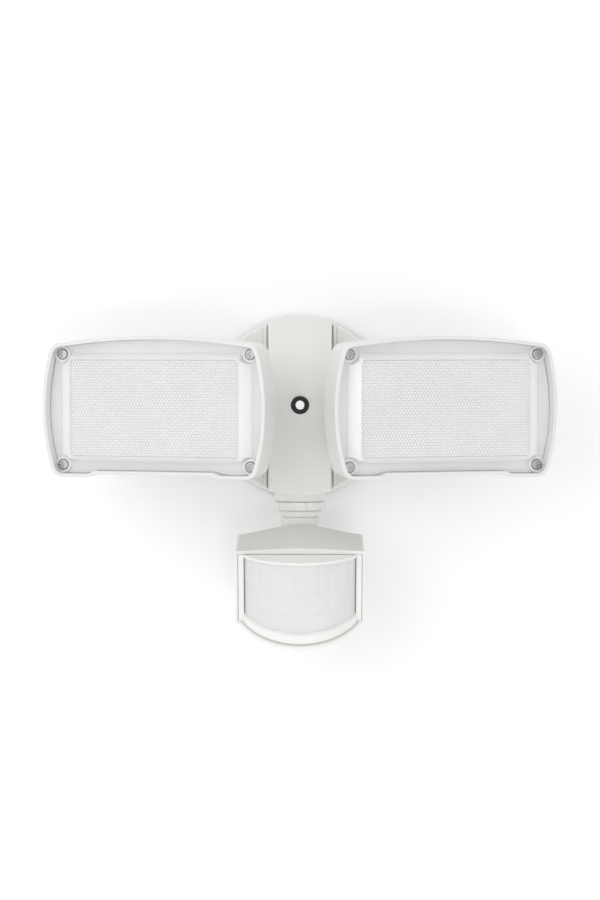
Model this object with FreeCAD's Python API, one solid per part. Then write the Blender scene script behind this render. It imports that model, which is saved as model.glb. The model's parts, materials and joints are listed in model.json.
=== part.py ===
import FreeCAD, Part

import math
import os

# Wall-mounted twin-head security floodlight with a motion sensor, in millimetres.
# Origin: centre of the wall face. +Y points into the wall, -Y to the front, +Z up, +X right.

V = FreeCAD.Vector
X_AXIS = V(1, 0, 0)
Y_AXIS = V(0, 1, 0)
Z_AXIS = V(0, 0, 1)

# ---- driving dimensions: canopy ----
CANOPY_R_BACK = 63.0
CANOPY_R_FRONT = 61.6
DRUM_FRONT_Y = -18.0
WALL = 2.5
GASKET_T = 1.6
BAND_HALF = 22.0
BAND_R = 62.4
HUB_DRAFT = 2.0
HUB_END_DRAFT = 1.8
RIB_X = 24.0
RIB_W = 2.4
RIB_FRONT_Y = -19.6
RIB_GROOVE_W = 0.5
RIB_GROOVE_DEPTH = 0.35
# centre-line of the hub front, top to bottom, as (y, z)
HUB_PROFILE = [(-19.2, 63.5), (-23.8, 52.0), (-33.5, 36.0), (-42.2, 18.0), (-47.5, 0.0),
               (-50.8, -24.0), (-53.2, -48.0), (-53.6, -64.0)]

# ---- driving dimensions: crossbar and bolt ----
BAR_HALF_X = 52.0
BAR_HALF_Z = 11.0
BAR_T = 2.0
SLOT_PITCH = 88.9
SLOT_W = 4.5
SLOT_L = 12.0
BOLT_R = 2.1
BOLT_HEAD_R = 3.1
SEAL_R = 6.1
BOLT_SEAT_Y = -44.6

# ---- driving dimensions: arms ----
ARM_Y = -34.5
ARM_Z = -0.4
BOSS_R = 12.8
BOSS_START_X = 19.0
BOSS_END_X = 26.0
SPIGOT_R = 11.6
SPIGOT_END_X = 31.4
ARM_IN_R = 7.0
ARM_OUT_R = 10.0
ARM_BORE_R = 3.2
GAP = 0.3
ELBOW_R = 11.4
CLAMP_R = 14.4
KNUCKLE_R = 8.2
KNUCKLE_HALF = 8.1
PIN_R = 3.0
PIN_CLEAR = 0.08

# ---- driving dimensions: heads (local: origin at the rim centre, +Y to the rear) ----
HEAD_TOE_OUT = 12.5
HEAD_TILT = 3.5
HEAD_FRONT = V(-94.7, -110.2, ARM_Z)
PAN_DEPTH = 56.0
TOP_CORNER = (68.3, 42.4)
TOP_MID_Z = 47.6
SIDE_MID_X = 74.4
LOW_CORNER_X = 67.3
LOW_TAB_Z = -43.7
LOW_MID_Z = -41.8
TAB_IN_X = 45.0
TAB_RAMP = 4.5
HEAD_CORNER_R = 8.5
HEAD_WALL = 2.2
LEDGE_Y = 12.5
LEDGE_T = 2.5
FLOOR_Y = 32.0
HEAD_DEPTH = 34.5
FIN_END_Y = 45.0
FIN_PITCH = 8.0
FIN_T = 2.0
COVER_SCREW = (63.0, 36.0)
COVER_HEAD_R = 3.3
FLANGE_FRONT_Y = 9.0
FLANGE_T = 2.5
PLATEAU_BASE = (63.4, 35.2)
PLATEAU_TOP = (56.5, 32.0)
PLATEAU_Z = 1.2
LED_COLS = 8
LED_ROWS = 3

# ---- driving dimensions: sensor (local: origin at the tilt axis, u forward, w up) ----
SENSOR_Y = -35.0
TILT_Z = -95.0
SENSOR_PITCH = 12.0
COLLAR_R = 17.3
COLLAR_END_Z = -65.3
NECK_R = 12.9
NECK_IN_R = 10.5
NECK_BORE_R = 3.2
NECK_CLAMP_R = 17.2
NECK_GROOVE = 0.7
NECK_SPIGOT_R = 12.4
SENSOR_HALF = 42.3
SHELL_T = 1.5
REAR_U = 14.0
HOOD_U = 52.0
FRAME_U = 44.0
POST_U = 51.7
LENS_CENTRE_U = 29.3
LENS_R = 42.2
LENS_T = 1.1
FRAME_R = 44.4
LIP_R = 45.6
LENS_HALF = 36.9
SHELF_W = 7.4
LENS_TOP_W = 5.8
DIAL_U = 30.0
DIAL_X = 17.0


# ---------------------------------------------------------------- helpers
def box(x0, x1, y0, y1, z0, z1):
    return Part.makeBox(x1 - x0, y1 - y0, z1 - z0, V(x0, y0, z0))


def rod(axis, r, a, b, c0=0.0, c1=0.0):
    """Cylinder along an axis from a to b; c0, c1 are its centre on the other two axes in order."""
    if axis == "x":
        return Part.makeCylinder(r, b - a, V(a, c0, c1), X_AXIS)
    if axis == "y":
        return Part.makeCylinder(r, b - a, V(c0, a, c1), Y_AXIS)
    return Part.makeCylinder(r, b - a, V(c0, c1, a), Z_AXIS)


def tube(axis, r_out, r_in, a, b, c0=0.0, c1=0.0):
    return rod(axis, r_out, a, b, c0, c1).cut(rod(axis, r_in, a - 1, b + 1, c0, c1))


def fuse(shapes):
    return shapes[0].multiFuse(shapes[1:]).removeSplitter() if len(shapes) > 1 else shapes[0]


def polygon(points):
    return Part.makePolygon([V(*p) for p in points + points[:1]])


def prism(wire, direction):
    return Part.Face(wire).extrude(direction)


def edges_along(shape, axis, picks=lambda e: True):
    """Straight edges of the shape that run along an axis."""
    found = []
    for e in shape.Edges:
        if e.Curve.TypeId != "Part::GeomLine":
            continue
        d = e.tangentAt(e.FirstParameter)
        if abs(abs(d.dot(axis)) - 1) < 1e-6 and picks(e):
            found.append(e)
    return found


def round_box(hx, hz, y0, y1, r, cz=0.0):
    """Plate with rounded corners: half sizes hx and hz, from y0 to y1."""
    plate = box(-hx, hx, y0, y1, cz - hz, cz + hz)
    return plate.makeFillet(r, edges_along(plate, Y_AXIS))


def round_rect_wire(hx, hz, y, r, cz=0.0):
    plate = round_box(hx, hz, y, y + 1.0, r, cz)
    face = [f for f in plate.Faces if abs(f.CenterOfMass.y - y) < 1e-6][0]
    return face.OuterWire


def hex_prism(axis, across, a, b, c0=0.0, c1=0.0):
    r = across / math.sqrt(3)
    pts = []
    for k in range(6):
        s = r * math.cos(math.radians(60 * k))
        t = r * math.sin(math.radians(60 * k))
        if axis == "x":
            pts.append((a, c0 + s, c1 + t))
        elif axis == "y":
            pts.append((c0 + s, a, c1 + t))
        else:
            pts.append((c0 + s, c1 + t, a))
    step = {"x": V(b - a, 0, 0), "y": V(0, b - a, 0), "z": V(0, 0, b - a)}[axis]
    return prism(polygon(pts), step)


def screw_y(x, z, head_y, head_h, head_r, shank_r, end_y):
    """Pan-head screw along Y: the head faces -Y, its underside at head_y."""
    head = rod("y", head_r, head_y - head_h, head_y, x, z)
    crown = [e for e in head.Edges if abs(e.CenterOfMass.y - (head_y - head_h)) < 1e-6]
    head = head.makeFillet(min(0.7, head_h * 0.4), crown)
    slot = 0.35 * head_r
    cross = box(x - 0.6 * head_r, x + 0.6 * head_r, head_y - head_h - 1, head_y - head_h * 0.45,
                z - slot / 2, z + slot / 2)
    cross = cross.fuse(box(x - slot / 2, x + slot / 2, head_y - head_h - 1,
                           head_y - head_h * 0.45, z - 0.6 * head_r, z + 0.6 * head_r))
    return head.cut(cross).fuse(rod("y", shank_r, head_y, end_y, x, z)).removeSplitter()


def ribbed_nut(axis, r, a, b, c0, c1, bores, ribs=12):
    """Knurled clamp ring from a to b; bores lists (radius, from, to)."""
    nut = rod(axis, r, a, b, c0, c1)
    for k in range(ribs):
        ang = 2 * math.pi * k / ribs
        s = (r + 1.1) * math.cos(ang)
        t = (r + 1.1) * math.sin(ang)
        nut = nut.cut(rod(axis, 2.2, a - 1, b + 1, c0 + s, c1 + t))
    for radius, start, end in bores:
        nut = nut.cut(rod(axis, radius, start, end, c0, c1))
    return nut


# ---------------------------------------------------------------- canopy and what it holds
def hub_solid(inset):
    """Raised centre body of the canopy, shrunk by inset on every outer side."""
    front = [V(0, y + inset, z) for y, z in HUB_PROFILE]
    spline = Part.BSplineCurve()
    spline.interpolate(front)
    first = front[0]
    last = front[-1]
    back = -12.0
    side = Part.Wire([spline.toShape(),
                      Part.makeLine(last, V(0, back, last.z)),
                      Part.makeLine(V(0, back, last.z), V(0, back, first.z)),
                      Part.makeLine(V(0, back, first.z), first)])
    body = Part.Face(side).extrude(V(60, 0, 0))
    body.translate(V(-30, 0, 0))
    wide = BAND_HALF - inset
    narrow = wide - HUB_DRAFT
    plan = polygon([(-wide, DRUM_FRONT_Y, -70), (-wide, 0, -70), (wide, 0, -70),
                    (wide, DRUM_FRONT_Y, -70), (narrow, -56, -70), (-narrow, -56, -70)])
    body = body.common(prism(plan, V(0, 0, 140)))
    ends = Part.makeCone(BAND_R - inset, BAND_R - HUB_END_DRAFT - inset, 60,
                         V(0, 0, 0), V(0, -1, 0))
    return body.common(ends)


def make_canopy():
    depth = -DRUM_FRONT_Y - GASKET_T
    drum = Part.makeCone(CANOPY_R_BACK, CANOPY_R_FRONT, depth, V(0, -GASKET_T, 0), V(0, -1, 0))
    rim = [e for e in drum.Edges if abs(e.CenterOfMass.y - DRUM_FRONT_Y) < 0.01]
    drum = drum.makeFillet(2.4, rim)
    solid = [drum, hub_solid(0.0).cut(box(-80, 80, -GASKET_T, 5, -80, 80))]
    for side in (-1, 1):
        rib = box(side * RIB_X - RIB_W / 2, side * RIB_X + RIB_W / 2, RIB_FRONT_Y, -16, -66, 66)
        fronts = edges_along(rib, Z_AXIS, lambda e: e.CenterOfMass.y < RIB_FRONT_Y + 0.1)
        rib = rib.makeFillet(0.9, fronts)
        solid.append(rib.common(rod("y", CANOPY_R_FRONT - 0.8, -30, 0)))
        boss = rod("x", BOSS_R, BOSS_START_X, BOSS_END_X, ARM_Y, ARM_Z)
        boss = boss.fuse(rod("x", SPIGOT_R, BOSS_START_X, SPIGOT_END_X, ARM_Y, ARM_Z))
        if side < 0:
            boss = boss.mirror(V(0, 0, 0), X_AXIS)
        solid.append(boss)
    collar = Part.makeCone(COLLAR_R, COLLAR_R - 1.4, 4.3, V(0, SENSOR_Y, -61), V(0, 0, -1))
    solid.append(collar)
    solid.append(rod("z", COLLAR_R, -61, -56, 0, SENSOR_Y))
    solid.append(rod("z", NECK_SPIGOT_R, -69.2, -60, 0, SENSOR_Y))
    body = fuse(solid)
    for side in (-1, 1):
        for edge in (RIB_X - RIB_W / 2 - RIB_GROOVE_W / 2, RIB_X + RIB_W / 2 + RIB_GROOVE_W / 2):
            x = side * edge
            body = body.cut(box(x - RIB_GROOVE_W / 2, x + RIB_GROOVE_W / 2, DRUM_FRONT_Y - 0.5,
                                DRUM_FRONT_Y + RIB_GROOVE_DEPTH, 18.0, 70.0))
            body = body.cut(box(x - RIB_GROOVE_W / 2, x + RIB_GROOVE_W / 2, DRUM_FRONT_Y - 0.5,
                                DRUM_FRONT_Y + RIB_GROOVE_DEPTH, -70.0, -18.0))

    hollow = rod("y", CANOPY_R_FRONT - WALL, DRUM_FRONT_Y + WALL, 5)
    inner_hub = hub_solid(WALL).cut(rod("z", COLLAR_R, -70, -58.8, 0, SENSOR_Y))
    for side in (-1, 1):
        a, b = sorted((side * (BOSS_START_X - 0.8), side * 40.0))
        inner_hub = inner_hub.cut(rod("x", BOSS_R, a, b, ARM_Y, ARM_Z))
    guide = rod("y", SEAL_R + 2.4, -52, -39.5)
    body = body.cut(hollow).cut(inner_hub.cut(guide))
    for side in (-1, 1):
        a, b = sorted((side * 14.0, side * 40.0))
        body = body.cut(rod("x", ARM_IN_R + GAP, a, b, ARM_Y, ARM_Z))
        a, b = sorted((side * (SPIGOT_END_X - 2.2), side * 40.0))
        body = body.cut(rod("x", ARM_IN_R + 2.6, a, b, ARM_Y, ARM_Z))
    body = body.cut(rod("z", NECK_IN_R + GAP, -75, -50, 0, SENSOR_Y))
    body = body.cut(rod("z", NECK_IN_R + 1.6, -75, -67.4, 0, SENSOR_Y))
    body = body.cut(rod("y", BOLT_R + 0.5, -60, -30))
    body = body.cut(rod("y", SEAL_R + 0.1, -60, BOLT_SEAT_Y))
    return body


def make_wall_gasket():
    ring = tube("y", CANOPY_R_BACK - 1.2, CANOPY_R_FRONT - WALL - 4.5, -GASKET_T, 0.0)
    return ring


def make_crossbar():
    bar = round_box(BAR_HALF_X, BAR_HALF_Z, -BAR_T, 0.0, 5.0)
    for side in (-1, 1):
        centre = side * SLOT_PITCH / 2
        half = SLOT_L / 2 - SLOT_W / 2
        bar = bar.cut(box(centre - half, centre + half, -5, 5, -SLOT_W / 2, SLOT_W / 2))
        bar = bar.cut(rod("y", SLOT_W / 2, -5, 5, centre - half, 0))
        bar = bar.cut(rod("y", SLOT_W / 2, -5, 5, centre + half, 0))
        rib = box(-BAR_HALF_X + 6, BAR_HALF_X - 6, -BAR_T - 1.6, -BAR_T,
                  side * (BAR_HALF_Z - 1.6) - 0.8, side * (BAR_HALF_Z - 1.6) + 0.8)
        bar = bar.fuse(rib)
    bar = bar.fuse(rod("y", 5.2, -BAR_T - 2.4, -BAR_T))
    bar = bar.cut(rod("y", BOLT_R, -8, 5))
    return bar.cut(rod("y", 1.9, -5, 5, 22.0, 0)).removeSplitter()


def make_mount_bolt():
    head_front = BOLT_SEAT_Y - 3.7
    head = rod("y", BOLT_HEAD_R, head_front, BOLT_SEAT_Y)
    crown = [e for e in head.Edges if abs(e.CenterOfMass.y - head_front) < 1e-6]
    head = head.makeFillet(0.3, crown)
    head = head.cut(hex_prism("y", 3.0, head_front - 1, head_front + 0.6))
    return head.fuse(rod("y", BOLT_R, BOLT_SEAT_Y, -0.2)).removeSplitter()


def make_bolt_seal():
    front = BOLT_SEAT_Y - 3.8
    seal = tube("y", SEAL_R, BOLT_HEAD_R + 0.15, front, BOLT_SEAT_Y)
    lip = [e for e in seal.Edges if abs(e.CenterOfMass.y - front) < 1e-6 and e.Length > 30]
    return seal.makeFillet(0.8, lip)


def make_ground_screw():
    head = hex_prism("y", 7.0, -BAR_T - 3.2, -BAR_T, 22.0, 0)
    head = head.cut(box(18, 26, -BAR_T - 4, -BAR_T - 2.1, -0.6, 0.6))
    return head.fuse(rod("y", 1.9, -BAR_T, -0.1, 22.0, 0)).removeSplitter()


def make_driver():
    """Potted LED driver case, its board and the two screws of its ears."""
    case = round_box(29.0, 13.0, -15.4, -4.0, 2.0, 34.0)
    case = case.cut(box(-27.2, 27.2, -13.8, -3.0, 22.8, 45.2))
    for side in (-1, 1):
        x = side * 34.0
        case = case.fuse(rod("y", 3.2, -15.4, -8.5, x, 30.0))
        case = case.fuse(box(min(side * 28.5, x), max(side * 28.5, x), -15.4, -11.5, 27.5, 32.5))
        case = case.cut(rod("y", 1.4, -30, 0, x, 30.0))
    board = box(-26.6, 26.6, -6.6, -5.0, 23.3, 44.7)
    lumps = [rod("y", 4.0, -12.6, -6.6, -18.0, 34.0), rod("y", 5.0, -13.0, -6.6, -6.0, 36.0),
             box(4.0, 14.0, -13.2, -6.6, 27.0, 41.0), box(18.0, 24.0, -11.0, -6.6, 28.0, 40.0)]
    board = board.multiFuse(lumps).removeSplitter()
    screws = []
    for side in (-1, 1):
        x = side * 34.0
        head = rod("y", 2.8, -8.5, -6.7, x, 30.0)
        head = head.cut(box(x - 2.0, x + 2.0, -7.5, -6.0, 29.6, 30.4))
        screws.append(head.fuse(rod("y", 1.35, -15.3, -8.5, x, 30.0)).removeSplitter())
    return case, board, Part.makeCompound(screws)


def make_terminal_block():
    block = box(-16.0, 16.0, -15.4, -5.0, -49.0, -38.0)
    for k in range(3):
        x = (k - 1) * 10.0
        block = block.cut(rod("y", 2.4, -10.0, -3.0, x, -43.5))
        block = block.cut(rod("z", 1.7, -55, -30, x, -12.4))
    return block


def make_terminal_screws():
    screws = []
    for k in range(3):
        x = (k - 1) * 10.0
        head = rod("y", 2.1, -9.9, -8.0, x, -43.5)
        screws.append(head.cut(box(x - 3, x + 3, -8.8, -7, -43.9, -43.1)))
    return Part.makeCompound(screws)


# ---------------------------------------------------------------- arm of the left head
def arm_parts():
    """Arm, inner retaining nut, O-ring and clamp nut of the left side, before tilting."""
    pan = pan_point()
    axis_z = ARM_Z
    start = V(-34.0, ARM_Y, axis_z)
    bend_in = V(pan.x + ELBOW_R, ARM_Y, axis_z)
    mid = V(pan.x + ELBOW_R * (1 - math.sin(math.pi / 4)),
            ARM_Y - ELBOW_R * (1 - math.cos(math.pi / 4)), axis_z)
    bend_out = V(pan.x, ARM_Y - ELBOW_R, axis_z)
    tip = V(pan.x, pan.y + KNUCKLE_R + 1.0, axis_z)
    path = Part.Wire([Part.makeLine(start, bend_in),
                      Part.Arc(bend_in, mid, bend_out).toShape(),
                      Part.makeLine(bend_out, tip)])

    def sweep(r):
        ring = Part.Wire([Part.makeCircle(r, start, V(-1, 0, 0))])
        return path.makePipeShell([ring], True, True)

    outer = sweep(ARM_OUT_R)
    arm = fuse([outer, rod("x", ARM_OUT_R + 0.2, -35.8, -32.2, ARM_Y, axis_z),
                rod("x", ARM_IN_R, -32.3, -12.5, ARM_Y, axis_z)])
    arm = arm.cut(sweep(ARM_BORE_R)).cut(rod("x", ARM_BORE_R, -35, -10, ARM_Y, axis_z))
    tongue = box(pan.x - KNUCKLE_R, pan.x + KNUCKLE_R, pan.y, tip.y + 2.0,
                 axis_z - KNUCKLE_HALF, axis_z + KNUCKLE_HALF)
    knuckle = rod("z", KNUCKLE_R, axis_z - KNUCKLE_HALF, axis_z + KNUCKLE_HALF, pan.x, pan.y)
    arm = fuse([arm, tongue, knuckle, rod("y", ARM_BORE_R + 1, tip.y - 1, tip.y + 2.0, pan.x, axis_z)])
    arm = arm.cut(rod("z", PIN_R + PIN_CLEAR, -40, 40, pan.x, pan.y))

    retainer = hex_prism("x", 17.0, -17.8, -13.4, 0, 0)
    retainer.rotate(V(0, 0, 0), X_AXIS, 90)
    retainer.translate(V(0, ARM_Y, axis_z))
    retainer = retainer.cut(rod("x", ARM_IN_R, -20, -10, ARM_Y, axis_z))
    seal = Part.makeTorus(ARM_IN_R + 1.2, 0.95, V(-30.3, ARM_Y, axis_z), X_AXIS)
    seal = seal.cut(rod("x", ARM_IN_R, -40, -20, ARM_Y, axis_z))
    nut = ribbed_nut("x", CLAMP_R, -36.2, -BOSS_END_X - GAP - 0.2, ARM_Y, axis_z,
                     [(SPIGOT_R + GAP, -31.8, -20), (ARM_OUT_R + 0.6, -40, -20)])
    return {"arm": arm, "arm_retainer": retainer, "arm_seal": seal, "arm_clamp_nut": nut}


# ---------------------------------------------------------------- left head, in its own frame
def pan_point():
    """Pan axis of the left head in plan, before tilting."""
    a = math.radians(HEAD_TOE_OUT)
    return V(HEAD_FRONT.x + PAN_DEPTH * math.sin(a), HEAD_FRONT.y + PAN_DEPTH * math.cos(a), 0)


def head_outline(y, inset=0.0):
    """Face of the head outline: bowed top and sides, and a stepped lower edge."""
    tx, tz = TOP_CORNER
    tx -= inset
    tz -= inset
    lx = LOW_CORNER_X - inset
    tab = LOW_TAB_Z + inset
    mid = LOW_MID_Z + inset
    tin = TAB_IN_X - inset * 0.4
    side = SIDE_MID_X - inset
    low = [V(lx, y, tab), V(tin, y, tab), V(tin - TAB_RAMP, y, mid),
           V(-tin + TAB_RAMP, y, mid), V(-tin, y, tab), V(-lx, y, tab)]
    edges = [Part.Arc(V(-tx, y, tz), V(0, y, TOP_MID_Z - inset), V(tx, y, tz)).toShape(),
             Part.Arc(V(tx, y, tz), V(side, y, 0), V(lx, y, tab)).toShape()]
    edges += [Part.makeLine(a, b) for a, b in zip(low, low[1:])]
    edges.append(Part.Arc(V(-lx, y, tab), V(-side, y, 0), V(-tx, y, tz)).toShape())
    return Part.Face(Part.Wire(edges))


def head_block(y0, y1, inset=0.0):
    block = head_outline(y0, inset).extrude(V(0, y1 - y0, 0))
    corners = edges_along(block, Y_AXIS, lambda e: abs(e.CenterOfMass.x) > 60)
    block = block.makeFillet(HEAD_CORNER_R - inset, corners)
    ramps = edges_along(block, Y_AXIS, lambda e: 38 < abs(e.CenterOfMass.x) < 47)
    return block.makeFillet(1.6, ramps)


def make_housing():
    shell = head_block(0.0, HEAD_DEPTH)
    rear = [e for e in shell.Edges if abs(e.BoundBox.YMin - HEAD_DEPTH) < 1e-6
            and e.BoundBox.YLength < 1e-6]
    shell = shell.makeFillet(5.0, rear)
    front = [e for e in shell.Edges if abs(e.BoundBox.YMax) < 1e-6 and e.BoundBox.YLength < 1e-6]
    shell = shell.makeFillet(0.8, front)
    shell = shell.cut(head_block(-1.0, LEDGE_Y, HEAD_WALL))
    shell = shell.cut(head_block(LEDGE_Y + LEDGE_T, FLOOR_Y - 4.0, HEAD_WALL))
    shell = shell.cut(head_block(FLOOR_Y - 4.2, FLOOR_Y, HEAD_WALL + 3.4))
    shell = shell.cut(round_box(59.6, 32.6, LEDGE_Y - 1, LEDGE_Y + LEDGE_T + 1, 4.0))

    extra = []
    fin_half = 34.0
    count = int(48.0 / FIN_PITCH)
    for k in range(-count, count + 1):
        x = k * FIN_PITCH
        fin = box(x - FIN_T / 2, x + FIN_T / 2, HEAD_DEPTH - 0.5, FIN_END_Y, -fin_half, fin_half)
        tips = edges_along(fin, X_AXIS, lambda e: e.CenterOfMass.y > FIN_END_Y - 0.1)
        extra.append(fin.makeFillet(6.0, tips))
    keep_out = box(-17, 17, HEAD_DEPTH, FIN_END_Y + 5, -22, 22)
    extra = [f.cut(keep_out) for f in extra]
    extra.append(round_box(15.5, 20.5, HEAD_DEPTH - 0.5, 42.0, 4.0))
    sx, sz = COVER_SCREW
    for x in (-sx, sx):
        for z in (-sz, sz):
            extra.append(rod("y", 4.2, LEDGE_Y + 1, FLOOR_Y - 2, x, z))
    shell = fuse([shell] + extra)
    for x in (-sx, sx):
        for z in (-sz, sz):
            shell = shell.cut(rod("y", 1.4, LEDGE_Y - 2, 25.5, x, z))
    for x in (-42, 42):
        for z in (-19.8, 19.8):
            shell = shell.cut(rod("y", 1.1, 30, 34.0, x, z))
    for x in (-10, 10):
        for z in (-15, 15):
            shell = shell.cut(rod("y", 1.6, 35.5, 50, x, z))
    return shell


def make_cover():
    bx, bz = PLATEAU_BASE
    tx, tz = PLATEAU_TOP
    flange = head_block(FLANGE_FRONT_Y, FLANGE_FRONT_Y + FLANGE_T, HEAD_WALL + GAP)
    outer = Part.makeLoft([round_rect_wire(bx, bz, 9.1, 3.0, PLATEAU_Z),
                           round_rect_wire(tx, tz, 1.5, 2.5, PLATEAU_Z)], True)
    inner = Part.makeLoft([round_rect_wire(bx - 2.2, bz - 2.2, 12.0, 2.5, PLATEAU_Z),
                           round_rect_wire(tx - 1.8, tz - 1.8, 3.6, 2.0, PLATEAU_Z)], True)
    for x in (-COVER_SCREW[0], COVER_SCREW[0]):
        for z in (-COVER_SCREW[1], COVER_SCREW[1]):
            outer = outer.cut(rod("y", 6.4, 0, 9.0, x, z))
            inner = inner.cut(rod("y", 8.4, 0, 15, x, z))
    cover = flange.fuse(outer).cut(inner)
    for x in (-COVER_SCREW[0], COVER_SCREW[0]):
        for z in (-COVER_SCREW[1], COVER_SCREW[1]):
            cover = cover.cut(rod("y", 1.7, 0, 15, x, z))
    return cover.removeSplitter()


def make_cover_gasket():
    ring = round_box(66.4, 38.8, 11.5, LEDGE_Y, 8.0, 0.2)
    ring = ring.cut(round_box(60.6, 33.8, 10, 14, 5.0, 0.2))
    for x in (-COVER_SCREW[0], COVER_SCREW[0]):
        for z in (-COVER_SCREW[1], COVER_SCREW[1]):
            ring = ring.cut(rod("y", 1.9, 10, 14, x, z))
    return ring


def led_spots():
    spots = []
    for i in range(LED_COLS):
        for j in range(LED_ROWS):
            spots.append(((i - (LED_COLS - 1) / 2) * 11.0, (j - (LED_ROWS - 1) / 2) * 10.0))
    return spots


def make_reflector():
    outer = Part.makeLoft([round_rect_wire(59.0, 32.0, 13.0, 4.0),
                           round_rect_wire(44.5, 16.5, 30.2, 3.0)], True)
    inner = Part.makeLoft([round_rect_wire(58.0, 31.0, 12.4, 4.0),
                           round_rect_wire(43.0, 15.0, 29.0, 3.0)], True)
    tray = outer.cut(inner)
    for x, z in led_spots():
        tray = tray.cut(rod("y", 2.5, 25, 35, x, z))
    return tray


def make_led_board():
    board = round_box(50.0, 22.0, 30.5, 32.0, 2.0)
    for x in (-42, 42):
        for z in (-19.8, 19.8):
            board = board.cut(rod("y", 1.3, 25, 35, x, z))
    return board


def make_led_chips():
    return Part.makeCompound([box(x - 1.5, x + 1.5, 29.7, 30.5, z - 1.5, z + 1.5)
                              for x, z in led_spots()])


def make_board_screws():
    return Part.makeCompound([screw_y(x, z, 30.5, 1.2, 1.8, 1.05, 33.8)
                              for x in (-42, 42) for z in (-19.8, 19.8)])


def make_cover_screws():
    sx, sz = COVER_SCREW
    return Part.makeCompound([screw_y(x, z, FLANGE_FRONT_Y, 2.0, COVER_HEAD_R, 1.35, 25.0)
                              for x in (-sx, sx) for z in (-sz, sz)])


def make_bracket():
    """Two-eared hinge bracket screwed to the pad between the fins."""
    plate = round_box(15.0, 20.0, 42.0, 45.0, 4.0)
    solids = [plate]
    for side in (-1, 1):
        z0, z1 = sorted((side * (KNUCKLE_HALF + GAP), side * (KNUCKLE_HALF + GAP + 3.6)))
        ear = box(-KNUCKLE_R, KNUCKLE_R, 44.5, PAN_DEPTH, z0, z1)
        solids.append(ear.fuse(rod("z", KNUCKLE_R, z0, z1, 0, PAN_DEPTH)))
    bracket = fuse(solids)
    bracket = bracket.cut(rod("z", PIN_R + 0.05, -30, 30, 0, PAN_DEPTH))
    for x in (-10, 10):
        for z in (-15, 15):
            bracket = bracket.cut(rod("y", 1.9, 40, 50, x, z))
    return bracket


def make_bracket_screws():
    screws = []
    for x in (-10, 10):
        for z in (-15, 15):
            s = screw_y(x, z, 0.0, 2.2, 3.0, 1.55, 8.6)
            s.rotate(V(x, 0, z), Z_AXIS, 180)
            s.translate(V(0, 45.0, 0))
            screws.append(s)
    return Part.makeCompound(screws)


def make_pan_bolt():
    top = KNUCKLE_HALF + GAP + 3.6
    bolt = rod("z", PIN_R, -top - 5.5, top, 0, PAN_DEPTH)
    head = hex_prism("z", 9.6, top, top + 3.4, 0, PAN_DEPTH)
    return bolt.fuse(head).removeSplitter()


def make_pan_nut():
    top = KNUCKLE_HALF + GAP + 3.6
    nut = hex_prism("z", 9.6, -top - 4.6, -top, 0, PAN_DEPTH)
    return nut.cut(rod("z", PIN_R, -30, 0, 0, PAN_DEPTH))


def head_parts():
    return {
        "housing": make_housing(),
        "cover": make_cover(),
        "cover_gasket": make_cover_gasket(),
        "cover_screws": make_cover_screws(),
        "reflector": make_reflector(),
        "led_board": make_led_board(),
        "led_chips": make_led_chips(),
        "board_screws": make_board_screws(),
        "bracket": make_bracket(),
        "bracket_screws": make_bracket_screws(),
        "pan_bolt": make_pan_bolt(),
        "pan_nut": make_pan_nut(),
    }


def place_head(shape):
    placed = shape.copy()
    placed.rotate(V(0, 0, 0), Z_AXIS, -HEAD_TOE_OUT)
    placed.translate(HEAD_FRONT)
    return tilt_arm(placed)


def tilt_arm(shape):
    tilted = shape.copy()
    tilted.rotate(V(0, ARM_Y, ARM_Z), X_AXIS, HEAD_TILT)
    return tilted


# ---------------------------------------------------------------- sensor, in its own frame
def su(u):
    """Forward distance u from the tilt axis as a Y value, before pitching."""
    return SENSOR_Y - u


def sw(w):
    """Height w above the tilt axis as a Z value."""
    return TILT_Z + w


def d_plan(radius, half, u_back):
    """Bay-window outline in plan at the tilt-axis height: flat back, bowed front."""
    reach = math.sqrt(radius ** 2 - half ** 2)
    flank = LENS_CENTRE_U + reach
    a = V(-half, su(u_back), 0)
    b = V(-half, su(flank), 0)
    c = V(half, su(flank), 0)
    d = V(half, su(u_back), 0)
    front = V(0, su(LENS_CENTRE_U + radius), 0)
    return Part.Wire([Part.makeLine(a, b), Part.Arc(b, front, c).toShape(),
                      Part.makeLine(c, d), Part.makeLine(d, a)])


def slab(low, high):
    """Wedge across X between two sloped lines, each given as (w at u=50, slope)."""
    pts = []
    for line, us in ((low, (0.0, 90.0)), (high, (90.0, 0.0))):
        for u in us:
            pts.append((-60.0, su(u), sw(line[0] + line[1] * (u - 50.0))))
    return prism(polygon(pts), V(120, 0, 0))


LENS_LOW = (-32.3, -0.376)
INNER_LOW = (-37.4, -0.33)
FRAME_LOW = (-37.1, -0.44)
LIP_LOW = (-39.3, -0.45)
LIP_HIGH = (-37.2, -0.45)
LIP_SCREW_U = 55.0


def bay(radius, half, u_back, low, high):
    tall = Part.Face(d_plan(radius, half, u_back)).extrude(V(0, 0, 140))
    tall.translate(V(0, 0, sw(-80)))
    return tall.common(slab(low, high))


def section(u, half, low, side_top, mid_top):
    """Upright section of the sensor body: straight sides, flat shoulders and an arched top."""
    y = su(u)
    pts = [V(-half, y, sw(side_top)), V(-half, y, sw(low)), V(half, y, sw(low)),
           V(half, y, sw(side_top))]
    edges = [Part.makeLine(a, b) for a, b in zip(pts, pts[1:])]
    rise = mid_top - side_top
    crown = []
    for k in range(-8, 9):
        t = k / 8
        blend = 0.5 + 0.5 * math.cos(math.pi * t)
        crown.append(V(-half * t, y, sw(side_top + rise * blend ** 0.8)))
    top = Part.BSplineCurve()
    top.interpolate(crown)
    edges.append(top.toShape())
    return Part.Wire(edges)


FLOOR_SLOPE = math.degrees(math.atan2(12.2, HOOD_U - REAR_U))


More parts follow.
